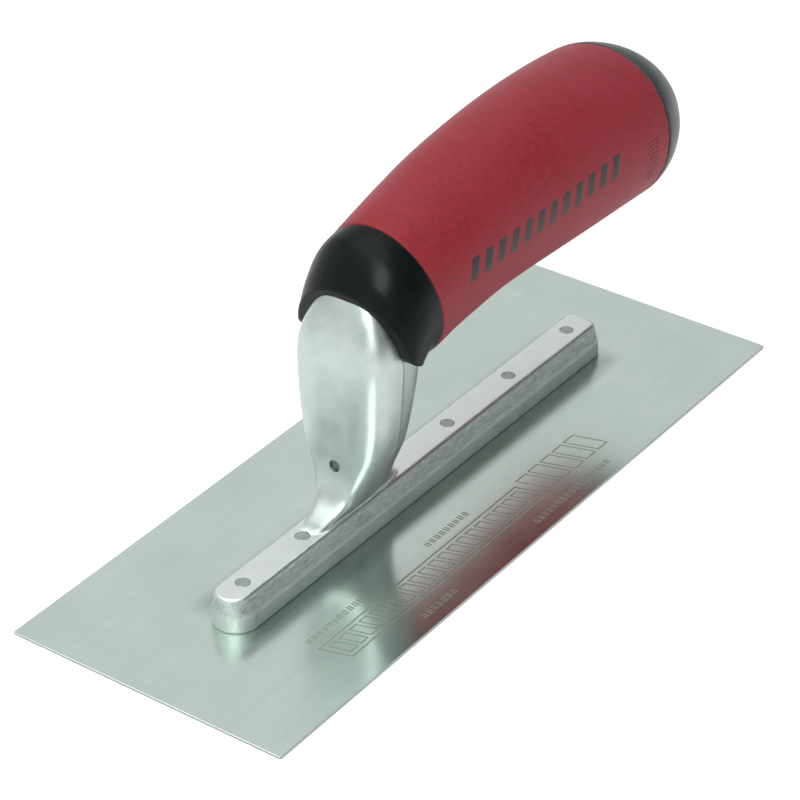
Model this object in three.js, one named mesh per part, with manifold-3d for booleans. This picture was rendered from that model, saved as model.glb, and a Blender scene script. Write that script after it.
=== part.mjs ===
// A small finishing trowel: a flat steel blade riveted under a cast aluminium mounting,
// whose neck rises into a moulded handle with a soft grip sleeve between two hard ends.
//
// Millimetres, +Z up. The blade lies flat on z = 0 and the origin is the centre of its underside.
// The blade's length runs along X, the handle's butt end points to +X, and y = 0 is a mirror plane.

import * as THREE from 'three';
import { mergeVertices } from 'three/addons/utils/BufferGeometryUtils.js';
import Module from 'manifold-3d';

const wasm = await Module();
wasm.setup();

// ---------------------------------------------------------------- driving dimensions

const bladeLength = 203.2;
const bladeWidth = 76.2;
const bladeThickness = 0.6;
const bladeCornerRadius = 0.5;

const barTop = 9.25;
const barNoseX = -74.25;
const barTailX = 75.6;
const ledgeHeight = 4.6;

const rivetX = [-65.9, -43.8, 14.1, 40.4, 66.7];
const rivetRadius = 1.75;
const rivetHeadRadius = 2.6;
const slipGap = 0.05;
const roundSides = 20;

const neckFaceX = -31;
const neckPinRadius = 1.45;
const neckPinHeight = 21.7;
const neckPinDepth = 0.5;
const neckPinLength = 7;

const sleeveThickness = 3;
const fitGap = 0.3;
const rimGap = 0.2;

const sleeveFront = { centre: new THREE.Vector3(-10.9, 0, 58.3), tilt: THREE.MathUtils.degToRad(12.6) };
const sleeveBack = { centre: new THREE.Vector3(77.7, 0, 64.2), tilt: THREE.MathUtils.degToRad(-6) };

const buttX = 100.3;
const buttDrop = 1.6;
const domeExponent = 1.5;

const boltHeight = 63.8;
const boltRadius = 3;
const boltInnerX = 12;
const boltHeadX = 91;
const boltHeadRadius = 5.2;
const boltHeadLength = 3.4;
const boltSocketRadius = 2.5;
const boltSocketDepth = 2;
const washerRadius = 6.2;
const washerThickness = 1.2;
const headRecessRadius = 7;
const capSpigotRadius = 10;
const capSpigotLength = 6;

const tangEndX = 34;
const outerSegments = 40;
const innerSegments = 28;
const neckSegments = 36;

// The neck's level sections, from inside the bar's top up into the handle:
// height, front edge x, back edge x, half width, and squareness (2 is an ellipse).
const neckSections = [
  { z: 8.2, front: -45, back: -6.5, halfWidth: 3.4, squareness: 4.5 },
  { z: 9.6, front: -41.5, back: -9.2, halfWidth: 3.6, squareness: 4.2 },
  { z: 10.4, front: -38.6, back: -10.9, halfWidth: 4.3, squareness: 3.8 },
  { z: 12, front: -35.4, back: -12.6, halfWidth: 5.6, squareness: 3.6 },
  { z: 14.5, front: -33, back: -13.9, halfWidth: 6.6, squareness: 3.6 },
  { z: 18, front: -31.7, back: -14.5, halfWidth: 7.9, squareness: 3.8 },
  { z: 22, front: -31.1, back: -14.6, halfWidth: 9.6, squareness: 4 },
  { z: 26, front: -31, back: -14.4, halfWidth: 11.1, squareness: 4 },
  { z: 33, front: -31.1, back: -13.4, halfWidth: 12.3, squareness: 4 },
  { z: 42, front: -31.3, back: -11.6, halfWidth: 13, squareness: 4 },
  { z: 49, front: -31.1, back: -10.9, halfWidth: 13.2, squareness: 4 },
  { z: 54, front: -30.2, back: -10.7, halfWidth: 12.6, squareness: 4 },
  { z: 58, front: -29, back: -10.8, halfWidth: 11, squareness: 4 },
  { z: 61.5, front: -27.6, back: -11.2, halfWidth: 9.1, squareness: 4 },
  { z: 64, front: -26.1, back: -12.2, halfWidth: 6.9, squareness: 4 },
  { z: 65.6, front: -24, back: -14, halfWidth: 4.5, squareness: 4 },
];

// The handle's cross sections from the nose back to the cap's dome: the highest point on the
// mirror plane, the section's lean from upright in degrees, and its half height and half width.
const handleSections = [
  { topX: -30, topZ: 60.6, lean: 15.5, halfHeight: 19, halfWidth: 16.8 },
  { topX: -27, topZ: 65.7, lean: 15.5, halfHeight: 18.6, halfWidth: 16.6 },
  { topX: -24.4, topZ: 71, lean: 15.5, halfHeight: 18.2, halfWidth: 16.5 },
  { topX: -20.4, topZ: 75.9, lean: 15.5, halfHeight: 18.4, halfWidth: 16.5 },
  { topX: -15, topZ: 77.9, lean: 15, halfHeight: 19.3, halfWidth: 16.4 },
  { topX: -7.7, topZ: 79.9, lean: 14, halfHeight: 19.6, halfWidth: 16.6 },
  { topX: 1.7, topZ: 81.9, lean: 10.5, halfHeight: 19.8, halfWidth: 17.2 },
  { topX: 14, topZ: 84.2, lean: 6, halfHeight: 20.2, halfWidth: 17.9 },
  { topX: 27, topZ: 85.7, lean: 3, halfHeight: 20.8, halfWidth: 18.6 },
  { topX: 40.8, topZ: 86.5, lean: 0.4, halfHeight: 21.3, halfWidth: 19.4 },
  { topX: 54.5, topZ: 86.4, lean: -1.3, halfHeight: 21.3, halfWidth: 20.3 },
  { topX: 68, topZ: 85.5, lean: -2.5, halfHeight: 20.8, halfWidth: 21.1 },
  { topX: 79.2, topZ: 84.3, lean: -3.2, halfHeight: 20.3, halfWidth: 21.4 },
];

// The nose's mouth, seen from the side: the arch line falls from the top of the rim, rounds a
// corner beside the neck and runs back under the handle.
const mouthTop = new THREE.Vector2(-33.8, 90);
const mouthCorner = new THREE.Vector2(-22.4, 50.5);
const mouthBack = new THREE.Vector2(12, 30.8);
const mouthCornerReach = 1.8;

// ---------------------------------------------------------------- materials

const materials = {
  stainless: new THREE.MeshStandardMaterial({ color: 0xb4bbb8, roughness: 0.3, metalness: 1 }),
  castAluminium: new THREE.MeshStandardMaterial({ color: 0xb9c0bd, roughness: 0.45, metalness: 1 }),
  rivetSteel: new THREE.MeshStandardMaterial({ color: 0x8c9492, roughness: 0.4, metalness: 1 }),
  zincSteel: new THREE.MeshStandardMaterial({ color: 0xa9adb0, roughness: 0.3, metalness: 1 }),
  blackPlastic: new THREE.MeshStandardMaterial({ color: 0x101314, roughness: 0.35, metalness: 0 }),
  slatePlastic: new THREE.MeshStandardMaterial({ color: 0x2f3f41, roughness: 0.4, metalness: 0 }),
  corePlastic: new THREE.MeshStandardMaterial({ color: 0x1c1e20, roughness: 0.5, metalness: 0 }),
  redGrip: new THREE.MeshStandardMaterial({ color: 0x9c2a3a, roughness: 0.75, metalness: 0 }),
};

// ---------------------------------------------------------------- solid helpers

function toSolid(geometry) {
  const bare = geometry.clone();
  bare.deleteAttribute('normal');
  bare.deleteAttribute('uv');
  const merged = mergeVertices(bare, 1e-5);
  const vertProperties = new Float32Array(merged.attributes.position.array);
  const triVerts = new Uint32Array(merged.index.array);
  return new wasm.Manifold(new wasm.Mesh({ numProp: 3, vertProperties, triVerts }));
}

function toGeometry(solid) {
  const mesh = solid.getMesh();
  const geometry = new THREE.BufferGeometry();
  geometry.setAttribute('position', new THREE.BufferAttribute(mesh.vertProperties, 3));
  geometry.setIndex(new THREE.BufferAttribute(mesh.triVerts, 1));
  geometry.computeVertexNormals();
  return geometry;
}

// Skins a row of closed rings, which all have the same number of points, and closes both ends.
function loft(rings) {
  const count = rings[0].length;
  const positions = rings.flat().flatMap((point) => [point.x, point.y, point.z]);
  const index = [];
  for (let row = 0; row < rings.length - 1; row += 1) {
    for (let k = 0; k < count; k += 1) {
      const a = row * count + k;
      const b = row * count + ((k + 1) % count);
      index.push(a, b, b + count, a, b + count, a + count);
    }
  }
  for (const row of [0, rings.length - 1]) {
    const middle = new THREE.Vector3();
    rings[row].forEach((point) => middle.addScaledVector(point, 1 / count));
    const hub = positions.length / 3;
    positions.push(middle.x, middle.y, middle.z);
    for (let k = 0; k < count; k += 1) {
      const a = row * count + k;
      const b = row * count + ((k + 1) % count);
      index.push(...(row === 0 ? [hub, b, a] : [hub, a, b]));
    }
  }
  const geometry = new THREE.BufferGeometry();
  geometry.setAttribute('position', new THREE.Float32BufferAttribute(positions, 3));
  geometry.setIndex(index);
  return geometry;
}

// A point of the unit superellipse; squareness 2 is a circle.
function superellipse(angle, squareness) {
  const power = 2 / squareness;
  const c = Math.cos(angle);
  const s = Math.sin(angle);
  return [Math.sign(c) * Math.abs(c) ** power, Math.sign(s) * Math.abs(s) ** power];
}

// Reads a table of sections as smooth curves, one for each column, at `along` from 0 to 1.
function smoothSections(sections) {
  const columns = Object.keys(sections[0]);
  const values = sections.flatMap((section) => columns.map((name) => section[name]));
  const steps = sections.map((section, i) => i);
  const curve = new THREE.CubicInterpolant(steps, values, columns.length);
  return (along) => {
    const row = curve.evaluate(along * (sections.length - 1));
    return Object.fromEntries(columns.map((name, i) => [name, row[i]]));
  };
}

// A cylinder along X.
function rodX(radius, fromX, toX, height, sides = roundSides) {
  const geometry = new THREE.CylinderGeometry(radius, radius, toX - fromX, sides);
  geometry.rotateZ(-Math.PI / 2);
  geometry.translate((fromX + toX) / 2, 0, height);
  return geometry;
}

const boltRod = (radius, fromX, toX, sides) => toSolid(rodX(radius, fromX, toX, boltHeight, sides));

// A block that fills everything on the butt side of a cross plane of the handle.
function blockBehind({ centre, tilt }, shift = 0) {
  const size = 400;
  const geometry = new THREE.BoxGeometry(size, size, size);
  geometry.translate(size / 2 + shift, 0, 0);
  geometry.rotateY(-tilt);
  geometry.translate(centre.x, centre.y, centre.z);
  return toSolid(geometry);
}

// ---------------------------------------------------------------- blade and rivets

// A flush rivet on the Z axis: a countersunk head in the blade and a shank up through the bar.
// An overrun carries the form past both faces, for cutting its hole.
function rivetForm(gap, overrun) {
  const head = rivetHeadRadius + gap;
  const shank = rivetRadius + gap;
  const profile = [
    new THREE.Vector2(0, -overrun),
    new THREE.Vector2(head, -overrun),
    new THREE.Vector2(shank, bladeThickness),
    new THREE.Vector2(shank, barTop + overrun),
    new THREE.Vector2(0, barTop + overrun),
  ];
  if (overrun > 0) {
    profile.splice(2, 0, new THREE.Vector2(head, 0));
  }
  const geometry = new THREE.LatheGeometry(profile, roundSides);
  geometry.rotateX(Math.PI / 2);
  return geometry;
}

const rivetHoles = rivetX
  .map((x) => toSolid(rivetForm(slipGap, 1).translate(x, 0, 0)))
  .reduce((all, hole) => all.add(hole));

function buildBlade() {
  const farX = bladeLength / 2 - bladeCornerRadius;
  const farY = bladeWidth / 2 - bladeCornerRadius;
  const corners = [[farX, farY], [-farX, farY], [-farX, -farY], [farX, -farY]];
  const outline = new THREE.Shape();
  corners.forEach(([x, y], quarter) => {
    const start = (quarter * Math.PI) / 2;
    outline.absarc(x, y, bladeCornerRadius, start, start + Math.PI / 2);
  });
  const options = { depth: bladeThickness, bevelEnabled: false, curveSegments: 3 };
  const plate = toSolid(new THREE.ExtrudeGeometry(outline, options));
  return toGeometry(plate.subtract(rivetHoles));
}

// ---------------------------------------------------------------- mounting: bar, neck and tang

// One level outline of the bar: straight sides, a round nose and a squarer tail.
function barRing({ z, halfWidth, noseInset, tailInset }) {
  const noseReach = halfWidth;
  const tailReach = halfWidth * 0.8;
  const tailSquareness = 2.8;
  const arcSteps = 8;
  const ring = [];
  for (let step = 0; step <= arcSteps; step += 1) {
    const [c, s] = superellipse(-Math.PI / 2 + (Math.PI * step) / arcSteps, tailSquareness);
    ring.push(new THREE.Vector3(barTailX - tailInset + tailReach * (c - 1), halfWidth * s, z));
  }
  for (let step = 0; step <= arcSteps; step += 1) {
    const [c, s] = superellipse(Math.PI / 2 + (Math.PI * step) / arcSteps, 2);
    ring.push(new THREE.Vector3(barNoseX + noseInset + noseReach * (c + 1), halfWidth * s, z));
  }
  return ring;
}

// The bar's sides have a plain band below the ledge and a drafted band above it.
function buildBar() {
  const ledgeRise = 0.2;
  const levels = [
    { z: bladeThickness, halfWidth: 5.95, noseInset: 0, tailInset: 0 },
    { z: ledgeHeight, halfWidth: 5.75, noseInset: 0.1, tailInset: 0.1 },
    { z: ledgeHeight + ledgeRise, halfWidth: 5.4, noseInset: 0.2, tailInset: 0.25 },
    { z: barTop - 0.95, halfWidth: 4.45, noseInset: 0.45, tailInset: 0.6 },
    { z: barTop - 0.3, halfWidth: 4.2, noseInset: 0.7, tailInset: 0.9 },
    { z: barTop, halfWidth: 3.86, noseInset: 1.05, tailInset: 1.6 },
  ];
  return toSolid(loft(levels.map(barRing)));
}

const neckAt = smoothSections(neckSections);

function buildNeckColumn(grow) {
  const rows = 2 * (neckSections.length - 1);
  const rings = [];
  for (let row = 0; row <= rows; row += 1) {
    const { z, front, back, halfWidth, squareness } = neckAt(row / rows);
    const isTop = row === rows;
    const ring = [];
    for (let k = 0; k < neckSegments; k += 1) {
      const [c, s] = superellipse((2 * Math.PI * k) / neckSegments, squareness);
      const x = (front + back) / 2 + ((back - front) / 2 + grow) * c;
      ring.push(new THREE.Vector3(x, (halfWidth + grow) * s, isTop ? z + grow : z));
    }
    rings.push(ring);
  }
  return toSolid(loft(rings));
}

// ---------------------------------------------------------------- handle body

const handleAt = smoothSections(handleSections);

// A ring across the handle. Its centre hangs below the section's top point along the lean.
function handleRing(section, segments, inset, shrink = 1, shift = new THREE.Vector3()) {
  const { topX, topZ, lean, halfHeight, halfWidth } = section;
  const angle = THREE.MathUtils.degToRad(lean);
  const up = new THREE.Vector3(-Math.sin(angle), 0, Math.cos(angle));
  const centre = new THREE.Vector3(topX, 0, topZ).addScaledVector(up, -halfHeight).add(shift);
  const ring = [];
  for (let k = 0; k < segments; k += 1) {
    const turn = (2 * Math.PI * k) / segments;
    const point = centre.clone().addScaledVector(up, -(halfHeight - inset) * shrink * Math.cos(turn));
    point.y = (halfWidth - inset) * shrink * Math.sin(turn);
    ring.push(point);
  }
  return ring;
}

// The handle's outer form, closed by a dome at the butt, or the same form taken in by an inset.
function buildHandleForm(inset, segments) {
  const bodyRows = 22;
  const domeRows = 8;
  const rings = [];
  for (let row = 0; row <= bodyRows; row += 1) {
    rings.push(handleRing(handleAt(row / bodyRows), segments, inset));
  }
  const last = handleAt(1);
  const lastCentreX = last.topX + last.halfHeight * Math.sin(THREE.MathUtils.degToRad(last.lean));
  for (let row = 1; row <= domeRows; row += 1) {
    const along = 1 - (1 - row / (domeRows + 0.3)) ** 2;
    const shrink = Math.sqrt(1 - along ** domeExponent);
    const shift = new THREE.Vector3(buttX - lastCentreX, 0, -buttDrop).multiplyScalar(along);
    rings.push(handleRing(last, segments, inset, shrink, shift));
  }
  return toSolid(loft(rings));
}

// Everything in front of and below the nose's mouth.
function buildMouthCut() {
  const reach = mouthCornerReach;
  const intoCorner = mouthTop.clone().sub(mouthCorner).setLength(reach).add(mouthCorner);
  const outOfCorner = mouthBack.clone().sub(mouthCorner).setLength(reach).add(mouthCorner);
  const shape = new THREE.Shape();
  shape.moveTo(-70, mouthTop.y);
  shape.lineTo(-70, 0);
  shape.lineTo(mouthBack.x, 0);
  shape.lineTo(mouthBack.x, mouthBack.y);
  shape.lineTo(outOfCorner.x, outOfCorner.y);
  shape.quadraticCurveTo(mouthCorner.x, mouthCorner.y, intoCorner.x, intoCorner.y);
  shape.lineTo(mouthTop.x, mouthTop.y);
  shape.closePath();
  const depth = 80;
  const geometry = new THREE.ExtrudeGeometry(shape, { depth, bevelEnabled: false, curveSegments: 6 });
  geometry.translate(0, 0, -depth / 2);
  geometry.rotateX(Math.PI / 2);
  return toSolid(geometry);
}

// The prong inside the handle, tapering along the handle's middle from the neck's top.
function buildTang(grow, endX) {
  const rows = 8;
  const start = { x: -19, z: 55, halfHeight: 9.5, halfWidth: 9 };
  const bend = { x: -4, z: 62.5, halfHeight: 9, halfWidth: 8.5 };
  const end = { x: endX, z: boltHeight, halfHeight: 7.5, halfWidth: 7.5 };
  const path = new THREE.QuadraticBezierCurve3(
    ...[start, bend, end].map((point) => new THREE.Vector3(point.x, 0, point.z)),
  );
  const rings = [];
  for (let row = 0; row <= rows; row += 1) {
    const along = row / rows;
    const centre = path.getPoint(along);
    const tangent = path.getTangent(along);
    const up = new THREE.Vector3(-tangent.z, 0, tangent.x);
    const halfHeight = THREE.MathUtils.lerp(start.halfHeight, end.halfHeight, along) + grow;
    const halfWidth = THREE.MathUtils.lerp(start.halfWidth, end.halfWidth, along) + grow;
    const ring = [];
    for (let k = 0; k < innerSegments; k += 1) {
      const turn = (2 * Math.PI * k) / innerSegments;
      const point = centre.clone().addScaledVector(up, -halfHeight * Math.cos(turn));
      point.y = halfWidth * Math.sin(turn);
      ring.push(point);
    }
    rings.push(ring);
  }
  return toSolid(loft(rings));
}

function buildMounting() {
  const tang = buildTang(0, tangEndX);
  const tappedHole = boltRod(boltRadius + slipGap, boltInnerX - 2, tangEndX + 5);
  const pinEndX = neckFaceX + neckPinDepth + neckPinLength + slipGap;
  const pinHole = toSolid(rodX(neckPinRadius + slipGap, neckFaceX - 3, pinEndX, neckPinHeight));
  const casting = buildBar().add(buildNeckColumn(0)).add(tang);
  return toGeometry(casting.subtract(rivetHoles).subtract(tappedHole).subtract(pinHole));
}

function buildNeckPin() {
  const frontX = neckFaceX + neckPinDepth;
  return rodX(neckPinRadius, frontX, frontX + neckPinLength, neckPinHeight);
}

const seam = fitGap / 2;
const outerForm = buildHandleForm(0, outerSegments);
const behindSleeveFront = blockBehind(sleeveFront, seam);
const behindSleeveBack = blockBehind(sleeveBack, -seam);
const tangSocket = buildTang(fitGap, tangEndX + 1);
const boltBore = boltRod(boltRadius + fitGap, boltInnerX, buttX + 5);

function buildFrontCollar() {
  const blank = outerForm.subtract(blockBehind(sleeveFront, -seam)).subtract(buildMouthCut());
  return toGeometry(blank.subtract(buildNeckColumn(rimGap)).subtract(tangSocket));
}

function buildHandleCore() {
  const coreForm = buildHandleForm(sleeveThickness + fitGap, innerSegments);
  const spigotEndX = sleeveBack.centre.x - capSpigotLength - fitGap;
  const spigotHole = boltRod(capSpigotRadius + fitGap, spigotEndX, buttX, innerSegments);
  const blank = coreForm.intersect(behindSleeveFront).subtract(behindSleeveBack);
  return toGeometry(blank.subtract(tangSocket).subtract(boltBore).subtract(spigotHole));
}

function buildGripSleeve() {
  const bore = buildHandleForm(sleeveThickness, innerSegments);
  const blank = outerForm.intersect(behindSleeveFront).subtract(behindSleeveBack);
  return toGeometry(blank.subtract(bore));
}

function buildEndCap() {
  const dome = outerForm.intersect(blockBehind(sleeveBack, seam));
  const spigotStartX = sleeveBack.centre.x - capSpigotLength;
  const spigot = boltRod(capSpigotRadius, spigotStartX, spigotStartX + 2 * capSpigotLength, innerSegments);
  const recess = boltRod(headRecessRadius, boltHeadX - washerThickness, buttX + 5, innerSegments);
  return toGeometry(dome.add(spigot).subtract(boltBore).subtract(recess));
}

function buildHandleBolt() {
  const headEndX = boltHeadX + boltHeadLength;
  const shank = boltRod(boltRadius, boltInnerX, boltHeadX + 1);
  const head = boltRod(boltHeadRadius, boltHeadX, headEndX);
  const socket = boltRod(boltSocketRadius, headEndX - boltSocketDepth, headEndX + 1, 6);
  return toGeometry(shank.add(head).subtract(socket));
}

function buildBoltWasher() {
  const bore = boltRadius + fitGap;
  const profile = [
    new THREE.Vector2(bore, 0),
    new THREE.Vector2(washerRadius, 0),
    new THREE.Vector2(washerRadius, washerThickness),
    new THREE.Vector2(bore, washerThickness),
    new THREE.Vector2(bore, 0),
  ];
  const geometry = new THREE.LatheGeometry(profile, roundSides);
  geometry.rotateZ(-Math.PI / 2);
  geometry.translate(boltHeadX - washerThickness, 0, boltHeight);
  return geometry;
}

// ---------------------------------------------------------------- assembly

const trowel = new THREE.Group();

function addPart(name, geometry, material) {
  const mesh = new THREE.Mesh(geometry, material);
  mesh.name = name;
  trowel.add(mesh);
  return mesh;
}

addPart('blade', buildBlade(), materials.stainless);
addPart('mounting', buildMounting(), materials.castAluminium);
rivetX.forEach((x, i) => {
  addPart(`rivet_${i + 1}`, rivetForm(0, 0), materials.rivetSteel).position.x = x;
});
addPart('neck_pin', buildNeckPin(), materials.rivetSteel);
addPart('front_collar', buildFrontCollar(), materials.blackPlastic);
addPart('handle_core', buildHandleCore(), materials.corePlastic);
addPart('grip_sleeve', buildGripSleeve(), materials.redGrip);
addPart('end_cap', buildEndCap(), materials.slatePlastic);
addPart('handle_bolt', buildHandleBolt(), materials.zincSteel);
addPart('bolt_washer', buildBoltWasher(), materials.zincSteel);

export default trowel;
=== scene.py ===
"""The looks of a small finishing trowel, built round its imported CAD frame.

Tables and shape helpers work in millimetres; place() turns a finished mesh into metres.
X runs along the blade towards the handle's butt, Z is up, and y = 0 is the mirror plane.
"""

import math

import bmesh
import bpy
from mathutils import Matrix, Vector

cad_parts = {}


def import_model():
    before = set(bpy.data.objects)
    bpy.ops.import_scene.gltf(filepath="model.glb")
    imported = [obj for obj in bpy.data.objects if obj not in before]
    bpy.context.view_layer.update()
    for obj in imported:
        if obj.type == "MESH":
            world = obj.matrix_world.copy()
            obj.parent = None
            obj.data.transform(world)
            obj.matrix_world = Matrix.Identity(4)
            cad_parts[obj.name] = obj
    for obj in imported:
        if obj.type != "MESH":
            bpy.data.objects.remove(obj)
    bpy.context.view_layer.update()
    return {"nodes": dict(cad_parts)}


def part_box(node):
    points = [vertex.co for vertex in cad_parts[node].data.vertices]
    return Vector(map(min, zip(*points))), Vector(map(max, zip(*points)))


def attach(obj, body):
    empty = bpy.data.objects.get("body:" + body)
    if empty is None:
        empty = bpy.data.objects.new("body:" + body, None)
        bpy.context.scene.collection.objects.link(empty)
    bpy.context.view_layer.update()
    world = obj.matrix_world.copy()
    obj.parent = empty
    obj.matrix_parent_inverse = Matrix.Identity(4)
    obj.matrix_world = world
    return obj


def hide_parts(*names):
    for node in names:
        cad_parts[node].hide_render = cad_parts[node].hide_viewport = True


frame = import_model()

MM = 0.001


def node_box(node):
    """A CAD node's lowest and highest corners in millimetres."""
    low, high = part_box(node)
    return low / MM, high / MM


# ---------------------------------------------------------------- sizes

blade_low, blade_high = node_box("blade")
mounting_low, mounting_high = node_box("mounting")
pin_low, pin_high = node_box("neck_pin")
bolt_low, bolt_high = node_box("handle_bolt")
washer_low, washer_high = node_box("bolt_washer")
RIVETS = [f"rivet_{number}" for number in range(1, 6)]
rivet_boxes = [node_box(name) for name in RIVETS]
rivet_centres = [(low.x + high.x) / 2 for low, high in rivet_boxes]

BLADE_TOP = blade_high.z
BLADE_EDGE = 0.12
BLADE_CORNER = 0.5
BAR_TOP = rivet_boxes[0][1].z
BAR_NOSE = mounting_low.x
BAR_TAIL = mounting_high.x
RIVET_HEAD = rivet_boxes[0][1].y
RIVET_SHANK = 1.75
SLIP = 0.05  # the gap round the rivets, the pin and the bolt's shank in the casting
PIN_HEIGHT = (pin_low.z + pin_high.z) / 2
PIN_RADIUS = pin_high.y
OVERRUN = 5  # how far a hole's cutter goes on past the open end of the hole
PIN_HOLE_START = pin_low.x - OVERRUN
BOLT_HEIGHT = (bolt_low.z + bolt_high.z) / 2
BOLT_RADIUS = 3
BOLT_HEAD = bolt_high.y
BOLT_HEAD_START = washer_high.x
BOLT_SOCKET = 2.5
BOLT_HOLE_SPARE = 2  # how much deeper than the bolt its hole is
SOCKET_DEPTH = 2
HEAD_RECESS = 7
FIT = 0.3  # the gap round the tang, and round the bolt in the cap and the washer
SEAM = 0.1  # how far each handle part stops short of the plane where it meets the next
SLEEVE_WALL = 3
SPIGOT_RADIUS = 10
SPIGOT_LENGTH = 6
PARTING_X = -21.8
PARTING_STEP = 0.3
AHEAD = -70  # clear in front of the neck and the handle

# The bar's levels: height, half width, and how far the nose and the tail draw in.
BAR_LEVELS = [
    (0, 5.95, 0, 0),
    (4.0, 5.75, 0.1, 0.1),
    (4.2, 5.4, 0.2, 0.25),
    (7.7, 4.45, 0.45, 0.6),
    (8.35, 4.2, 0.7, 0.9),
    (8.65, 3.86, 1.05, 1.6),
]

# The neck's level sections: height, front x, back x, half width, squareness.
NECK_SECTIONS = [
    (8.2, -45, -6.5, 3.4, 4.5),
    (9.6, -41.5, -9.2, 3.6, 4.2),
    (10.4, -38.6, -10.9, 4.3, 3.8),
    (12, -35.4, -12.6, 5.6, 3.6),
    (14.5, -33, -13.9, 6.6, 3.6),
    (18, -31.7, -14.5, 7.9, 3.8),
    (22, -31.1, -14.6, 9.6, 4),
    (26, -31, -14.4, 11.1, 4),
    (33, -31.1, -13.4, 12.3, 4),
    (42, -31.3, -11.6, 13, 4),
    (49, -31.1, -10.9, 13.2, 4),
    (54, -30.2, -10.7, 12.6, 4),
    (58, -29, -10.8, 11, 4),
    (61.5, -27.6, -11.2, 9.1, 4),
    (64, -26.1, -12.2, 6.9, 4),
    (65.6, -24, -14, 4.5, 4),
]

# The handle's cross sections: top x, top z, lean in degrees, half height, half width.
HANDLE_SECTIONS = [
    (-30, 60.6, 15.5, 19, 16.8),
    (-27, 65.7, 15.5, 18.6, 16.6),
    (-24.4, 71, 15.5, 18.2, 16.5),
    (-20.4, 75.9, 15.5, 18.4, 16.5),
    (-15, 77.9, 15, 19.3, 16.4),
    (-7.7, 79.9, 14, 19.6, 16.6),
    (1.7, 81.9, 10.5, 19.8, 17.2),
    (14, 84.2, 6, 20.2, 17.9),
    (27, 85.7, 3, 20.8, 18.6),
    (40.8, 86.5, 0.4, 21.3, 19.4),
    (54.5, 86.4, -1.3, 21.3, 20.3),
    (68, 85.5, -2.5, 20.8, 21.1),
    (79.2, 84.3, -3.2, 20.3, 21.4),
]
BUTT_X = 100.3
BUTT_DROP = 1.6
DOME_POWER = 1.5
SKIN = 0.03  # how far the smooth skin stays inside the CAD model's outer form

# Cross planes of the handle, as (x, z, lean in degrees) of the sleeve's two ends.
SLEEVE_FRONT = (-10.9, 58.3, 12.6)
SLEEVE_BACK = (77.7, 64.2, -6)

# The nose's mouth in side view: its top, its corner beside the neck, and its far end.
MOUTH_TOP = Vector((-33.8, 90))
MOUTH_CORNER = Vector((-22.4, 50.5))
MOUTH_BACK = Vector((12, 30.8))
MOUTH_REACH = 1.8

# The tang's middle line and its half height and half width at both ends.
TANG_START = Vector((-19, 0, 55))
TANG_BEND = Vector((-4, 0, 62.5))
TANG_END = Vector((34, 0, BOLT_HEIGHT))
TANG_SIZES = ((9.5, 9), (7.5, 7.5))


# ---------------------------------------------------------------- shape helpers


def spline(rows, along):
    """A smooth curve through a table's rows, read at along from 0 to 1."""
    spot = along * (len(rows) - 1)
    i = min(int(spot), len(rows) - 2)
    t = spot - i
    here, after = rows[i], rows[i + 1]
    before = rows[i - 1] if i > 0 else [2 * a - b for a, b in zip(here, after)]
    beyond = rows[i + 2] if i + 2 < len(rows) else [2 * b - a for a, b in zip(here, after)]
    values = []
    for a, b, c, d in zip(before, here, after, beyond):
        curve = (2 * a - 5 * b + 4 * c - d) + t * (3 * (b - c) + d - a)
        values.append(b + t / 2 * ((c - a) + t * curve))
    return values


def solid(name, mesh_maker):
    """A new object whose mesh is filled by mesh_maker(bm)."""
    bm = bmesh.new()
    mesh_maker(bm)
    bmesh.ops.recalc_face_normals(bm, faces=bm.faces)
    mesh = bpy.data.meshes.new(name)
    bm.to_mesh(mesh)
    bm.free()
    piece = bpy.data.objects.new(name, mesh)
    bpy.context.scene.collection.objects.link(piece)
    return piece


def loft(name, rings):
    """A closed solid skinned through rings that all have the same number of points."""

    def fill(bm):
        rows = [[bm.verts.new(point) for point in ring] for ring in rings]
        count = len(rings[0])
        for low, high in zip(rows, rows[1:]):
            for k in range(count):
                m = (k + 1) % count
                bm.faces.new((low[k], low[m], high[m], high[k]))
        bm.faces.new(rows[0][::-1])
        bm.faces.new(rows[-1])

    return solid(name, fill)


def prism(name, outline):
    """A side-view outline of (x, z) points pushed out both ways along Y, past the whole trowel."""
    half_depth = 60
    sides = [[Vector((x, y, z)) for x, z in outline] for y in (-half_depth, half_depth)]
    return loft(name, sides)


def turned(name, profile, axis, segments=72):
    """A solid of revolution: profile holds (radius, place along the axis) from end to end."""

    def ring(radius, place):
        points = []
        for k in range(segments):
            turn = 2 * math.pi * k / segments
            c, s = radius * math.cos(turn), radius * math.sin(turn)
            points.append(Vector((c, s, place)) if axis == "Z" else Vector((place, c, s)))
        return points

    return loft(name, [ring(radius, place) for radius, place in profile])


def apply_modifiers(piece):
    """Makes the piece's modifiers part of its mesh."""
    bpy.context.view_layer.objects.active = piece
    for modifier in list(piece.modifiers):
        bpy.ops.object.modifier_apply(modifier=modifier.name)


def combine(piece, tool, operation):
    """Joins or cuts piece with tool, which is used up."""
    modifier = piece.modifiers.new("combine", "BOOLEAN")
    modifier.operation = operation
    modifier.solver = "MANIFOLD"
    modifier.object = tool
    apply_modifiers(piece)
    bpy.data.objects.remove(tool, do_unlink=True)
    return piece


def cut(piece, *tools):
    """Takes every tool away from piece."""
    for tool in tools:
        combine(piece, tool, "DIFFERENCE")
    return piece


def soften(piece, voxel, passes=3):
    """Moulds a solid as one skin with small rounded edges."""
    remesh = piece.modifiers.new("skin", "REMESH")
    remesh.mode = "VOXEL"
    remesh.voxel_size = voxel
    smooth = piece.modifiers.new("round", "SMOOTH")
    smooth.factor = 0.5
    smooth.iterations = passes
    apply_modifiers(piece)
    return piece


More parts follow.
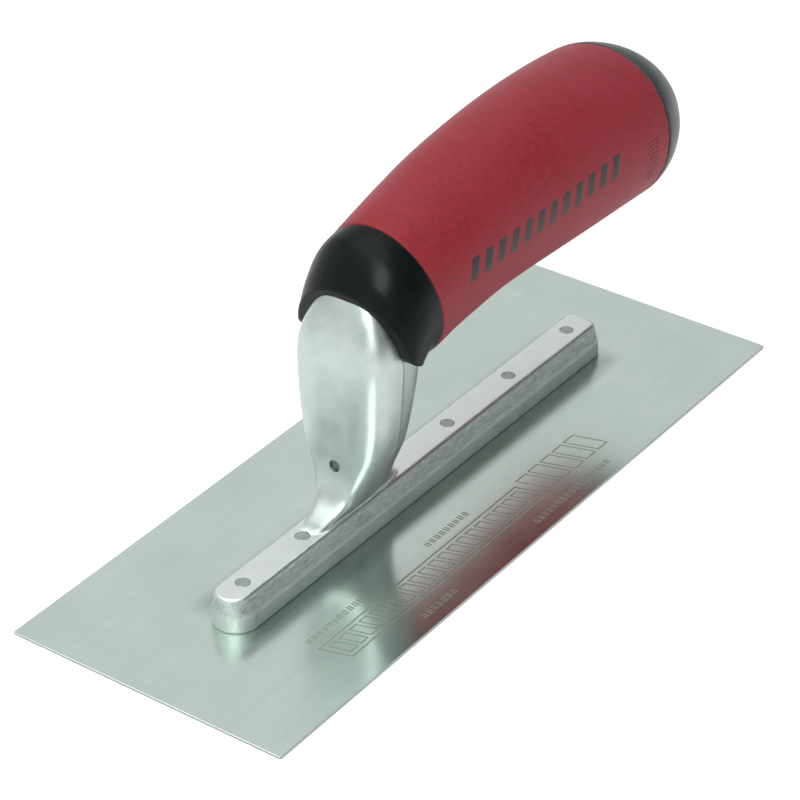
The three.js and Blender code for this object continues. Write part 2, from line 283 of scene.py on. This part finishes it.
def shade(piece, crease=math.radians(180)):
    """Smooth shading, with edges that turn more than crease kept crisp."""
    bm = bmesh.new()
    bm.from_mesh(piece.data)
    for face in bm.faces:
        face.smooth = True
    for edge in bm.edges:
        edge.smooth = edge.calc_face_angle(0) < crease
    bm.to_mesh(piece.data)
    bm.free()


def place(piece, material, slot, *nodes, crease=math.radians(180)):
    """Finishes a piece: metres, shading, material, body, and the CAD nodes that it stands for."""
    piece.data.transform(Matrix.Scale(MM, 4))
    shade(piece, crease)
    piece.data.materials.clear()
    piece.data.materials.append(material)
    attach(piece, "root")
    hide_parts(*nodes)


# ---------------------------------------------------------------- shapes


def superellipse(turn, squareness):
    """A point on a unit superellipse: 2 is a circle, and more is squarer."""
    power = 2 / squareness
    c, s = math.cos(turn), math.sin(turn)
    return math.copysign(abs(c) ** power, c), math.copysign(abs(s) ** power, s)


def blade_plate():
    """The flat sheet with rounded corners, eased edges and countersunk rivet holes."""
    steps = 6
    far_x, far_y = blade_high.x - BLADE_CORNER, blade_high.y - BLADE_CORNER
    corners = [(far_x, far_y), (-far_x, far_y), (-far_x, -far_y), (far_x, -far_y)]

    def ring(inset, z):
        points = []
        for quarter, (x, y) in enumerate(corners):
            for step in range(steps + 1):
                turn = math.pi / 2 * (quarter + step / steps)
                radius = BLADE_CORNER - inset
                points.append(Vector((x + radius * math.cos(turn), y + radius * math.sin(turn), z)))
        return points

    levels = [
        (BLADE_EDGE, blade_low.z),
        (BLADE_EDGE / 3, blade_low.z + BLADE_EDGE / 3),
        (0, blade_low.z + BLADE_EDGE),
        (0, BLADE_TOP - BLADE_EDGE),
        (BLADE_EDGE / 3, BLADE_TOP - BLADE_EDGE / 3),
        (BLADE_EDGE, BLADE_TOP),
    ]
    plate = loft("steel_blade", [ring(inset, z) for inset, z in levels])
    return cut(plate, *[rivet_form(x, gap=SLIP, overrun=1) for x in rivet_centres])


def rivet_form(x, gap, overrun):
    """A cutter for one rivet's hole: countersunk in the blade and straight through the bar."""
    profile = [
        (RIVET_HEAD + gap, -overrun),
        (RIVET_HEAD + gap, 0),
        (RIVET_SHANK + gap, BLADE_TOP),
        (RIVET_SHANK + gap, BAR_TOP + overrun),
    ]
    hole = turned("rivet_hole", profile, "Z")
    hole.data.transform(Matrix.Translation((x, 0, 0)))
    return hole


def rivet(name, x):
    """A flush rivet with a slightly dished, chamfered top."""
    edge = 0.12
    dish = 0.05
    profile = [
        (RIVET_HEAD - edge, 0),
        (RIVET_HEAD - edge / 3, edge / 3),
        (RIVET_SHANK, BLADE_TOP),
        (RIVET_SHANK, BAR_TOP - edge),
        (RIVET_SHANK - edge, BAR_TOP),
        (RIVET_SHANK * 0.6, BAR_TOP - dish / 2),
        (RIVET_SHANK * 0.25, BAR_TOP - dish),
    ]
    piece = turned(name, profile, "Z")
    piece.data.transform(Matrix.Translation((x, 0, 0)))
    return piece


def bar():
    """The long bar on the blade: straight sides, a round nose and a squarer tail."""
    steps = 20
    tail_share = 0.8
    tail_squareness = 2.8
    nose_squareness = 2
    rings = []
    for height, half_width, nose_inset, tail_inset in BAR_LEVELS:
        ring = []
        for step in range(steps + 1):
            c, s = superellipse(math.pi * (step / steps - 0.5), tail_squareness)
            x = BAR_TAIL - tail_inset + tail_share * half_width * (c - 1)
            ring.append(Vector((x, half_width * s, BLADE_TOP + height)))
        for step in range(steps + 1):
            c, s = superellipse(math.pi * (step / steps + 0.5), nose_squareness)
            x = BAR_NOSE + nose_inset + half_width * (c + 1)
            ring.append(Vector((x, half_width * s, BLADE_TOP + height)))
        rings.append(ring)
    return loft("cast_mounting", rings)


def neck_column(grow, name="neck"):
    """The upright neck, widest below the handle, with a flared foot and a domed top."""
    rows = 60
    segments = 96
    rings = []
    for row in range(rows + 1):
        z, front, back, half_width, squareness = spline(NECK_SECTIONS, row / rows)
        ring = []
        for k in range(segments):
            c, s = superellipse(2 * math.pi * k / segments, squareness)
            x = (front + back) / 2 + ((back - front) / 2 + grow) * c
            ring.append(Vector((x, (half_width + grow) * s, z + (grow if row == rows else 0))))
        rings.append(ring)
    return loft(name, rings)


def tang(grow):
    """The prong inside the handle, along a bend from the neck's top."""
    rows, segments = 16, 48
    rings = []
    for row in range(rows + 1):
        t = row / rows
        centre = (1 - t) ** 2 * TANG_START + 2 * t * (1 - t) * TANG_BEND + t * t * TANG_END
        along = ((1 - t) * (TANG_BEND - TANG_START) + t * (TANG_END - TANG_BEND)).normalized()
        up = Vector((-along.z, 0, along.x))
        (first_high, first_wide), (last_high, last_wide) = TANG_SIZES
        high = first_high + (last_high - first_high) * t + grow
        wide = first_wide + (last_wide - first_wide) * t + grow
        ring = []
        for k in range(segments):
            turn = 2 * math.pi * k / segments
            ring.append(centre - up * high * math.cos(turn) + Vector((0, wide * math.sin(turn), 0)))
        rings.append(ring)
    return loft("tang", rings)


def rod(radius, start, end, height=BOLT_HEIGHT, segments=72):
    """A plain round cutter along X."""
    cutter = turned("rod", [(radius, start), (radius, end)], "X", segments)
    cutter.data.transform(Matrix.Translation((0, 0, height)))
    return cutter


def mounting():
    """Bar, neck and tang cast in one piece, with the mould's parting step down the neck."""
    low, high = 6, 70
    outline = [(AHEAD, low), (PARTING_X, low), (PARTING_X, high), (AHEAD, high)]
    front_half = prism("front_half", outline)
    front = combine(neck_column(0), front_half, "INTERSECT")
    neck = combine(neck_column(-PARTING_STEP, "neck_core"), front, "UNION")
    casting = combine(combine(bar(), neck, "UNION"), tang(0), "UNION")
    soften(casting, voxel=0.3, passes=4)
    holes = [rivet_form(x, gap=SLIP, overrun=1) for x in rivet_centres]
    pin_hole = rod(PIN_RADIUS + SLIP, PIN_HOLE_START, pin_high.x + SLIP, PIN_HEIGHT)
    bolt_hole = rod(BOLT_RADIUS + SLIP, bolt_low.x - BOLT_HOLE_SPARE, TANG_END.x + OVERRUN)
    return cut(casting, pin_hole, bolt_hole, *holes)


def handle_ring(section, segments, inset, shrink=1, shift=Vector()):
    top_x, top_z, lean, half_height, half_width = section
    up = Vector((-math.sin(math.radians(lean)), 0, math.cos(math.radians(lean))))
    centre = Vector((top_x, 0, top_z)) - up * half_height + shift
    ring = []
    for k in range(segments):
        turn = 2 * math.pi * k / segments
        high = (half_height - inset) * shrink * math.cos(turn)
        wide = (half_width - inset) * shrink * math.sin(turn)
        ring.append(centre - up * high + Vector((0, wide, 0)))
    return ring


def handle_form(inset, name="handle_form"):
    """The whole handle's outer form, or the same form taken in by an inset."""
    body_rows, dome_rows, segments = 96, 36, 120
    tip_gap = 0.3  # in rows, so that the last ring still has a size
    rings = [
        handle_ring(spline(HANDLE_SECTIONS, row / body_rows), segments, inset)
        for row in range(body_rows + 1)
    ]
    last = HANDLE_SECTIONS[-1]
    top_x, _, lean, half_height, _ = last
    last_centre_x = top_x + half_height * math.sin(math.radians(lean))
    reach = Vector((BUTT_X - last_centre_x, 0, -BUTT_DROP))
    for row in range(1, dome_rows + 1):
        along = 1 - (1 - row / (dome_rows + tip_gap)) ** 2
        shrink = math.sqrt(1 - along**DOME_POWER)
        rings.append(handle_ring(last, segments, inset, shrink, reach * along))
    return loft(name, rings)


def behind(plane, shift):
    """Everything on the butt side of one of the handle's cross planes."""
    x, z, lean = plane
    size = 300
    across = Vector((math.cos(math.radians(lean)), math.sin(math.radians(lean))))
    up = Vector((-across.y, across.x))
    start = Vector((x, z)) + across * shift
    near = [start - up * size, start + up * size]
    far = [point + across * size for point in reversed(near)]
    return prism("behind", near + far)


def ahead_of(plane, shift):
    """Everything on the nose side of one of the handle's cross planes."""
    x, z, lean = plane
    return behind((x, z, lean + 180), -shift)


def mouth():
    """Everything in front of and below the nose's mouth."""
    steps = 8
    start = MOUTH_CORNER + (MOUTH_BACK - MOUTH_CORNER).normalized() * MOUTH_REACH
    end = MOUTH_CORNER + (MOUTH_TOP - MOUTH_CORNER).normalized() * MOUTH_REACH
    below = [(AHEAD, MOUTH_TOP.y), (AHEAD, 0), (MOUTH_BACK.x, 0), MOUTH_BACK]
    outline = [Vector(point) for point in below]
    for step in range(steps + 1):
        t = step / steps
        outline.append((1 - t) ** 2 * start + 2 * t * (1 - t) * MOUTH_CORNER + t * t * end)
    outline.append(MOUTH_TOP)
    return prism("mouth", outline)


def front_collar():
    """The hard nose that caps the neck, with its arched mouth."""
    collar = cut(handle_form(SKIN, "nose_collar"), behind(SLEEVE_FRONT, -SEAM), mouth())
    soften(collar, voxel=0.28)
    neck_gap = 0.2
    return cut(collar, neck_column(neck_gap), tang(FIT))


def grip_sleeve():
    """The soft grip between the two hard ends, with eased rims."""
    sleeve = handle_form(SKIN, "soft_sleeve")
    cut(sleeve, handle_form(SLEEVE_WALL, "bore"))
    combine(sleeve, behind(SLEEVE_FRONT, SEAM), "INTERSECT")
    combine(sleeve, ahead_of(SLEEVE_BACK, -SEAM), "INTERSECT")
    return soften(sleeve, voxel=0.42)


def end_cap():
    """The domed butt, with a recess for the bolt's head."""
    start = SLEEVE_BACK[0] - SPIGOT_LENGTH
    bore_start = 50
    cap = combine(handle_form(SKIN, "butt_cap"), behind(SLEEVE_BACK, SEAM), "INTERSECT")
    combine(cap, rod(SPIGOT_RADIUS, start, start + 2 * SPIGOT_LENGTH), "UNION")
    recess = rod(HEAD_RECESS, washer_low.x, BUTT_X + OVERRUN)
    bore = rod(BOLT_RADIUS + FIT, bore_start, BUTT_X)
    cut(cap, recess, bore)
    return soften(cap, voxel=0.36)


def neck_pin():
    edge = 0.15
    profile = [
        (PIN_RADIUS - edge, pin_low.x),
        (PIN_RADIUS, pin_low.x + edge),
        (PIN_RADIUS, pin_high.x),
    ]
    pin = turned("recessed_pin", profile, "X")
    pin.data.transform(Matrix.Translation((0, 0, PIN_HEIGHT)))
    return pin


def handle_bolt():
    """A socket-head bolt: plain shank, chamfered head and six-sided socket."""
    edge = 0.4
    profile = [
        (BOLT_RADIUS - edge, bolt_low.x),
        (BOLT_RADIUS, bolt_low.x + edge),
        (BOLT_RADIUS, BOLT_HEAD_START),
        (BOLT_HEAD, BOLT_HEAD_START),
        (BOLT_HEAD, bolt_high.x - edge),
        (BOLT_HEAD - edge, bolt_high.x),
    ]
    bolt = turned("socket_bolt", profile, "X")
    bolt.data.transform(Matrix.Translation((0, 0, BOLT_HEIGHT)))
    return cut(bolt, rod(BOLT_SOCKET, bolt_high.x - SOCKET_DEPTH, bolt_high.x + 1, segments=6))


def bolt_washer():
    edge = 0.2
    outer = washer_high.y
    profile = [
        (outer - edge, washer_low.x),
        (outer, washer_low.x + edge),
        (outer, washer_high.x - edge),
        (outer - edge, washer_high.x),
    ]
    washer = turned("plain_washer", profile, "X")
    washer.data.transform(Matrix.Translation((0, 0, BOLT_HEIGHT)))
    return cut(washer, rod(BOLT_RADIUS + FIT, washer_low.x - 1, washer_high.x + 1))


# ---------------------------------------------------------------- material helpers


class Finish:
    """A material being built from nodes, with positions on the object in millimetres."""

    def __init__(self, name):
        self.material = bpy.data.materials.new(name)
        self.material.use_nodes = True
        self.tree = self.material.node_tree
        self.shader = self.tree.nodes["Principled BSDF"]
        where = self.tree.nodes.new("ShaderNodeTexCoord").outputs["Object"]
        in_mm = {0: where, 1: (1 / MM,) * 3}
        self.where = self.add("VectorMath", in_mm, operation="MULTIPLY").outputs[0]
        apart = self.add("SeparateXYZ", {0: self.where}).outputs
        self.x, self.y, self.z = apart[0], apart[1], apart[2]

    def add(self, kind, inputs, **settings):
        node = self.tree.nodes.new("ShaderNode" + kind)
        for name, value in settings.items():
            setattr(node, name, value)
        for name, value in inputs.items():
            if isinstance(value, bpy.types.NodeSocket):
                self.tree.links.new(value, node.inputs[name])
            else:
                node.inputs[name].default_value = value
        return node

    def math(self, operation, *values):
        return self.add("Math", dict(enumerate(values)), operation=operation).outputs[0]

    def noise(self, size, detail=3, rough=0.5, stretch=(1, 1, 1)):
        """Noise whose features are about size millimetres across, longer where stretch is more."""
        scale = tuple(1 / (size * s) for s in stretch)
        spot = self.add("VectorMath", {0: self.where, 1: scale}, operation="MULTIPLY").outputs[0]
        inputs = {"Vector": spot, "Scale": 1, "Detail": detail, "Roughness": rough}
        return self.add("TexNoise", inputs).outputs["Fac"]

    def spread(self, value, low, high, to_low=0, to_high=1):
        """Maps low..high to to_low..to_high, held at both ends."""
        inputs = {"Value": value, 1: low, 2: high, 3: to_low, 4: to_high}
        return self.add("MapRange", inputs).outputs[0]

    def between(self, value, low, high, soft=0.08):
        """1 where value lies between low and high, with softened ends."""
        rise = self.spread(value, low - soft, low + soft)
        fall = self.spread(value, high - soft, high + soft, 1, 0)
        return self.math("MULTIPLY", rise, fall)

    def mix(self, share, first, second):
        node = self.tree.nodes.new("ShaderNodeMix")
        node.data_type = "RGBA"
        factor, colour_a, colour_b = (node.inputs[index] for index in (0, 6, 7))
        for socket, value in ((factor, share), (colour_a, first), (colour_b, second)):
            if isinstance(value, bpy.types.NodeSocket):
                self.tree.links.new(value, socket)
            else:
                socket.default_value = value if isinstance(value, float) else (*value, 1)
        return node.outputs[2]

    def bump(self, height, depth, under=None):
        """Relief of depth millimetres."""
        inputs = {"Height": height, "Distance": depth * MM, "Strength": 1.0}
        if under:
            inputs["Normal"] = under
        return self.add("Bump", inputs).outputs[0]

    def finish(self, **sockets):
        for name, value in sockets.items():
            socket = self.shader.inputs[name.replace("_", " ")]
            if isinstance(value, bpy.types.NodeSocket):
                self.tree.links.new(value, socket)
            else:
                socket.default_value = value
        return self.material


# ---------------------------------------------------------------- materials


def stainless():
    """Ground stainless: grain along the blade, smears, etched marks, rougher edges darkened by painted
    shade, and painted shade beside the bar.
    """
    f = Finish("ground_stainless")
    grain = f.noise(0.16, 2, 0.6, stretch=(160, 1, 1))
    streaks = f.noise(1.1, 3, 0.6, stretch=(40, 1, 1))
    smears = f.noise(24, 4, 0.55)
    etched = etched_panel(f)
    colour = f.mix(f.spread(smears, 0.3, 0.7), (0.56, 0.655, 0.61), (0.62, 0.715, 0.665))
    colour = f.mix(f.spread(streaks, 0.35, 0.65, 0, 0.25), colour, (0.52, 0.6, 0.56))
    colour = f.mix(f.math("MULTIPLY", etched, 0.8), colour, (0.24, 0.245, 0.19))
    # Painted shade: a darker band on the blade along both sides of the bar stands in for the bar's contact
    # shadow and dark reflection.
    painted_shade_beside_bar = f.spread(f.math("ABSOLUTE", f.y), 9, 13, 0.5, 0)
    painted_shade_beside_bar = f.math("MULTIPLY", painted_shade_beside_bar, f.between(f.x, BAR_NOSE + 4, BAR_TAIL - 1, 3))
    colour = f.mix(painted_shade_beside_bar, colour, (0.2, 0.24, 0.22))
    # Painted shade: the blade's sides and underside get a darker colour; the same mask also makes them
    # rougher.
    rough_edge_painted_shade = f.spread(f.z, BLADE_TOP - 0.2, BLADE_TOP - 0.1, 1, 0)
    colour = f.mix(rough_edge_painted_shade, colour, (0.3, 0.34, 0.32))
    rough = f.math("ADD", f.spread(smears, 0.3, 0.7, 0.15, 0.2), f.spread(grain, 0.3, 0.7, 0, 0.05))
    rough = f.math("ADD", rough, f.math("MULTIPLY", f.math("MAXIMUM", etched, rough_edge_painted_shade), 0.3))
    relief = f.bump(etched, -0.01, f.bump(grain, 0.0012))
    return f.finish(Base_Color=colour, Metallic=1.0, Roughness=rough, Normal=relief)


# The etched marks' spans run along the blade on an axis slanted like the marks, and across it on Y.
# The ticks' spans along it are on X. The border has an outer and an inner edge.
BORDER_OUTER = ((-73.4, 5), (-29.7, -21.7))
BORDER_INNER = ((-73, 4.6), (-29.35, -22.05))

# Etched rows of blocks: start of the pattern, span along, span across and half the pitch.
BLOCK_ROWS = [
    (0, (-72.2, 3.8), (-28.4, -23), 1.9),
    (1.4, (5.2, 31.2), (-29.4, -20.6), 2.6),
]

# Etched rows of ticks: span along and span across.
TICK_ROWS = [
    ((-66.5, -45.6), (-19.4, -17.6)),
    ((-20.9, -3.8), (-19.4, -17.6)),
    ((-43.7, -30.4), (-34.8, -33)),
    ((1.9, 34.2), (-34.8, -33)),
]


def patch(f, along, span, across):
    """1 inside a rectangle on the blade, given by its spans along and across."""
    return f.math("MULTIPLY", f.between(along, *span), f.between(f.y, *across))


def outlined_blocks(f, along, across, half_pitch):
    """An endless row of plain upright blocks drawn as thin outlines."""
    gap, line, soft = 0.45, 0.32, 0.12
    low, high = across
    wave = f.math("PINGPONG", along, half_pitch)
    outer = f.math("MULTIPLY", f.spread(wave, gap, gap + soft), f.between(f.y, low, high))
    inside = f.spread(wave, gap + line, gap + line + soft)
    inner = f.math("MULTIPLY", inside, f.between(f.y, low + line, high - line))
    return f.math("SUBTRACT", outer, inner)


def etched_panel(f):
    """Plain etched marks on the blade: a border round a row of blocks, larger blocks, tick rows."""
    slant = 0.3
    leaning = f.math("ADD", f.x, f.math("MULTIPLY", f.y, slant))
    outer = patch(f, leaning, *BORDER_OUTER)
    inner = patch(f, leaning, *BORDER_INNER)
    marks = f.math("SUBTRACT", outer, inner)
    for pattern_start, span, across, half_pitch in BLOCK_ROWS:
        along = f.math("SUBTRACT", leaning, pattern_start)
        blocks = outlined_blocks(f, along, across, half_pitch)
        blocks = f.math("MULTIPLY", blocks, f.between(along, *span))
        marks = f.math("MAXIMUM", marks, blocks)
    ticks = f.between(f.math("PINGPONG", f.x, 0.95), 0.4, 0.75)
    for span, across in TICK_ROWS:
        row = f.math("MULTIPLY", ticks, patch(f, f.x, span, across))
        marks = f.math("MAXIMUM", marks, row)
    return marks


def cast_aluminium():
    """Satin casting: cloudy skin, rough dark-specked sides on the bar lightened by painted light, and a
    cross-ground top.
    """
    f = Finish("cast_aluminium")
    clouds = f.noise(5, 4, 0.55)
    fine = f.noise(0.5, 3, 0.6)
    specks = f.noise(0.45, 5, 0.7, stretch=(5, 1, 1.2))
    ground_lines = f.noise(0.25, 2, 0.5, stretch=(1, 40, 1))
    # Mask of the bar's rough cast sides; it also carries the painted light that lightens them.
    side = f.math("MULTIPLY", f.between(f.z, 0.4, 8.9, 0.3), f.spread(clouds, 0.2, 0.5, 0.6, 1))
    rear = f.math("MULTIPLY", f.spread(f.x, PARTING_X, PARTING_X + 0.3), f.between(f.z, 13, 60, 2))
    top = f.spread(f.z, BAR_TOP - 0.25, BAR_TOP - 0.1)
    top = f.math("MULTIPLY", top, f.spread(f.z, BAR_TOP + 0.1, BAR_TOP + 0.6, 1, 0))
    upper_band = f.between(f.z, 4.9, 8.8, 0.3)
    pitted = f.math("MULTIPLY", upper_band, f.spread(specks, 0.42, 0.68))
    colour = f.mix(f.spread(clouds, 0.3, 0.7), (0.45, 0.52, 0.49), (0.54, 0.605, 0.58))
    colour = f.mix(f.spread(fine, 0.4, 0.75, 0, 0.3), colour, (0.38, 0.43, 0.41))
    # Painted light: the bar's sides are lightened in a mottled band, beyond their own cloudy tone.
    colour = f.mix(f.math("MULTIPLY", side, 0.5), colour, (0.72, 0.8, 0.76))
    colour = f.mix(f.math("MULTIPLY", rear, 0.5), colour, (0.3, 0.35, 0.32))
    colour = f.mix(f.math("MULTIPLY", top, 0.7), colour, (0.84, 0.89, 0.88))
    colour = f.mix(f.math("MULTIPLY", pitted, 0.55), colour, (0.19, 0.21, 0.2))
    worn_edge = f.between(f.z, 8.2, BAR_TOP - 0.2, 0.15)
    reach = f.math("ADD", f.math("ABSOLUTE", f.y), f.math("MULTIPLY", specks, 0.9))
    nicks = f.math("MULTIPLY", f.spread(reach, 4.15, 4.4), f.between(f.z, 8.8, BAR_TOP + 0.1, 0.2))
    colour = f.mix(f.math("MULTIPLY", nicks, 0.75), colour, (0.2, 0.22, 0.21))
    rough = f.math("ADD", f.spread(clouds, 0.3, 0.7, 0.35, 0.45), f.math("MULTIPLY", side, 0.12))
    rough = f.math("SUBTRACT", rough, f.math("MULTIPLY", top, 0.08))
    rough = f.math("ADD", rough, f.math("MULTIPLY", f.math("MAXIMUM", worn_edge, nicks), 0.2))
    relief = f.bump(clouds, 0.1, f.bump(fine, 0.02))
    relief = f.bump(f.math("MULTIPLY", side, specks), -0.12, relief)
    relief = f.bump(f.math("MULTIPLY", top, ground_lines), 0.008, relief)
    return f.finish(Base_Color=colour, Metallic=1.0, Roughness=rough, Normal=relief)


def plain_steel(name, colour, dull, roughness):
    """Small steel fasteners with a fine grain and dulled patches."""
    f = Finish(name)
    patches = f.noise(1.2, 3, 0.6)
    grain = f.noise(0.12, 2, 0.5, stretch=(1, 8, 1))
    tint = f.mix(f.spread(patches, 0.35, 0.65), colour, dull)
    rough = f.spread(patches, 0.3, 0.7, roughness, roughness + 0.12)
    relief = f.bump(grain, 0.004)
    return f.finish(Base_Color=tint, Metallic=1.0, Roughness=rough, Normal=relief)


def moulded_plastic(name, colour, worn, roughness, grain_depth, gloss):
    """Hard moulded plastic with a fine mould grain, soft scuffs and paler rubbed patches."""
    f = Finish(name)
    grain = f.noise(0.28, 2, 0.6)
    scuffs = f.noise(7, 5, 0.65)
    scratches = f.noise(0.6, 3, 0.6, stretch=(14, 14, 1))
    tint = f.mix(f.spread(scuffs, 0.4, 0.75), colour, worn)
    rough = f.math(
        "ADD",
        f.spread(scuffs, 0.3, 0.7, roughness, roughness + 0.12),
        f.spread(scratches, 0.62, 0.72, 0, 0.1),
    )
    relief = f.bump(grain, grain_depth)
    return f.finish(Base_Color=tint, Roughness=rough, Normal=relief, Specular_IOR_Level=gloss)


# The middle line of the grip's printed row, as (x, z) at two places.
PRINT_START = (0, 64.6)
PRINT_END = (60, 68.3)

# The block of small moulded bars near the grip's butt end: its spans in x and z.
MOULDED_X = (68.5, 72.5)
MOULDED_Z = (58, 69)


def red_grip():
    """Dusty soft-touch rubber with a printed row of slanted bars and small moulded bars."""
    f = Finish("red_soft_grip")
    mottle = f.noise(1.1, 5, 0.7)
    patches = f.noise(14, 3, 0.5)
    grain = f.noise(0.35, 3, 0.6)
    colour = f.mix(f.spread(mottle, 0.3, 0.7), (0.15, 0.007, 0.011), (0.29, 0.013, 0.019))
    colour = f.mix(f.spread(patches, 0.35, 0.7, 0, 0.4), colour, (0.25, 0.02, 0.042))
    near_side = f.spread(f.y, -8, -9)
    (start_x, start_z), (end_x, end_z) = PRINT_START, PRINT_END
    print_height = f.math("SUBTRACT", f.z, f.spread(f.x, start_x, end_x, start_z, end_z))
    slanted = f.math("SUBTRACT", f.x, f.math("MULTIPLY", f.z, 0.28))
    half_pitch = 2.4
    bars = f.spread(f.math("PINGPONG", slanted, half_pitch), 1.05, 1.2)
    row = f.between(slanted, -8 * half_pitch, 16 * half_pitch)
    band = f.math("MULTIPLY", f.between(print_height, -2.7, 2.7, 0.1), row)
    printed = f.math("MULTIPLY", f.math("MULTIPLY", bars, band), near_side)
    printed = f.math("MULTIPLY", printed, f.spread(grain, 0.28, 0.36, 0.6, 1))
    colour = f.mix(printed, colour, (0.004, 0.005, 0.005))
    moulded = f.between(f.math("PINGPONG", f.z, 1.1), 0.35, 0.8, 0.1)
    moulded = f.math("MULTIPLY", moulded, f.between(f.x, *MOULDED_X, 0.15))
    moulded = f.math("MULTIPLY", moulded, f.between(f.z, *MOULDED_Z, 0.15))
    moulded = f.math("MULTIPLY", moulded, near_side)
    rough = f.spread(mottle, 0.3, 0.7, 0.52, 0.64)
    rough = f.math("SUBTRACT", rough, f.math("MULTIPLY", printed, 0.25))
    relief = f.bump(moulded, -0.25, f.bump(grain, 0.05))
    return f.finish(
        Base_Color=colour,
        Roughness=rough,
        Normal=relief,
        Specular_IOR_Level=0.32,
        Sheen_Weight=0.12,
        Sheen_Roughness=0.45,
        Sheen_Tint=(0.95, 0.5, 0.62, 1),
    )


# ---------------------------------------------------------------- assembly

aluminium = cast_aluminium()
rivet_steel = plain_steel("rivet_steel", (0.42, 0.48, 0.465), (0.33, 0.38, 0.37), 0.36)
# Painted shade: the neck pin's steel is much darker than the rivets' to stand in for the shade of the
# recess it sits in.
pin_steel_painted_shade = plain_steel("pin_steel_painted_shade", (0.2, 0.23, 0.22), (0.13, 0.15, 0.145), 0.45)
zinc = plain_steel("zinc_steel", (0.66, 0.67, 0.68), (0.55, 0.56, 0.57), 0.26)
black = moulded_plastic(
    "black_plastic",
    colour=(0.002, 0.004, 0.004),
    worn=(0.004, 0.007, 0.008),
    roughness=0.25,
    grain_depth=0.01,
    gloss=0.13,
)
slate = moulded_plastic(
    "slate_plastic",
    colour=(0.012, 0.022, 0.021),
    worn=(0.02, 0.032, 0.031),
    roughness=0.34,
    grain_depth=0.02,
    gloss=0.55,
)
core = moulded_plastic(
    "core_plastic",
    colour=(0.03, 0.032, 0.034),
    worn=(0.04, 0.042, 0.045),
    roughness=0.5,
    grain_depth=0.02,
    gloss=0.3,
)
SHEET_CREASE = math.radians(10)
CRISP = math.radians(25)
CAST_CREASE = math.radians(60)

place(blade_plate(), stainless(), "stainless", "blade", crease=SHEET_CREASE)
place(mounting(), aluminium, "cast_aluminium", "mounting", crease=CAST_CREASE)
for node, centre in zip(RIVETS, rivet_centres):
    place(rivet("flush_" + node, centre), rivet_steel, "rivet_steel", node, crease=CRISP)
place(neck_pin(), pin_steel_painted_shade, "rivet_steel", "neck_pin", crease=CRISP)
place(front_collar(), black, "black_plastic", "front_collar", crease=CAST_CREASE)
place(grip_sleeve(), red_grip(), "red_grip", "grip_sleeve")
place(end_cap(), slate, "slate_plastic", "end_cap")
place(handle_bolt(), zinc, "zinc_steel", "handle_bolt", crease=CRISP)
place(bolt_washer(), zinc, "zinc_steel", "bolt_washer", crease=CRISP)

core_node = frame["nodes"]["handle_core"]
core_node.data.materials.clear()
core_node.data.materials.append(core)


# ---------------------------------------------------------------- floor, light and camera


def floor():
    size = 3.0
    drop = 0.0001
    corners = [(-size, -size), (size, -size), (size, size), (-size, size)]

    def fill(bm):
        bm.faces.new([bm.verts.new((x, y, -drop)) for x, y in corners])

    ground = solid("floor", fill)
    f = Finish("floor_paper")
    tone = f.mix(f.noise(60, 2), (0.88, 0.88, 0.88), (0.9, 0.9, 0.9))
    glow = {"Emission_Color": (1, 1, 1, 1), "Emission_Strength": 0.2}
    ground.data.materials.append(f.finish(Base_Color=tone, Roughness=0.9, **glow))


def softbox(name, place_at, aim, size, power):
    """A square area light at a point in metres, facing another."""
    light = bpy.data.lights.new(name, "AREA")
    light.size = size
    light.energy = power
    lamp = bpy.data.objects.new(name, light)
    lamp.location = place_at
    lamp.rotation_euler = (Vector(aim) - Vector(place_at)).to_track_quat("-Z", "Y").to_euler()
    bpy.context.scene.collection.objects.link(lamp)


BRIGHT_SIDE = (-0.3, 0.8, 0.52)
BRIGHT_LEVEL = 0.84
DARK_LEVEL = 0.3
LEVEL_SPAN = (-0.45, 0.55)  # cosines of the angle to the bright side where the change starts and ends


def world():
    """Soft studio surroundings, bright behind the trowel and dim on its near right."""
    sky = bpy.data.worlds.new("studio")
    sky.use_nodes = True
    tree = sky.node_tree
    towards = tree.nodes.new("ShaderNodeTexCoord").outputs["Generated"]
    facing = tree.nodes.new("ShaderNodeVectorMath")
    facing.operation = "DOT_PRODUCT"
    facing.inputs[1].default_value = Vector(BRIGHT_SIDE).normalized()
    tree.links.new(towards, facing.inputs[0])
    level = tree.nodes.new("ShaderNodeMapRange")
    level.interpolation_type = "SMOOTHSTEP"
    for socket, value in zip(level.inputs[1:5], (*LEVEL_SPAN, DARK_LEVEL, BRIGHT_LEVEL)):
        socket.default_value = value
    tree.links.new(facing.outputs["Value"], level.inputs["Value"])
    tree.links.new(level.outputs["Result"], tree.nodes["Background"].inputs["Strength"])
    tree.nodes["Background"].inputs["Color"].default_value = (1, 1, 1, 1)
    bpy.context.scene.world = sky


def camera():
    """The camera stands off the nose's near corner and looks down at about 33 degrees."""
    eye = Vector((-504.2, -364.4, 428.2)) * MM
    aim = Vector((-22.4, -12.5, 40)) * MM
    roll = math.radians(-0.4)
    lens = bpy.data.cameras.new("camera")
    lens.lens = 140.7
    lens.sensor_width = 36
    view = bpy.data.objects.new("camera", lens)
    turn = (aim - eye).to_track_quat("-Z", "Y").to_matrix().to_4x4()
    view.matrix_world = Matrix.Translation(eye) @ turn @ Matrix.Rotation(roll, 4, "Z")
    bpy.context.scene.collection.objects.link(view)
    bpy.context.scene.camera = view


floor()
world()
softbox("overhead", place_at=(-0.25, 0.15, 1.05), aim=(0, 0, 0.03), size=1.1, power=6)
softbox("near_side", place_at=(-0.9, -0.38, 0.74), aim=(-0.02, 0, 0.06), size=0.4, power=5.5)
camera()
bpy.context.scene.view_settings.view_transform = "Standard"
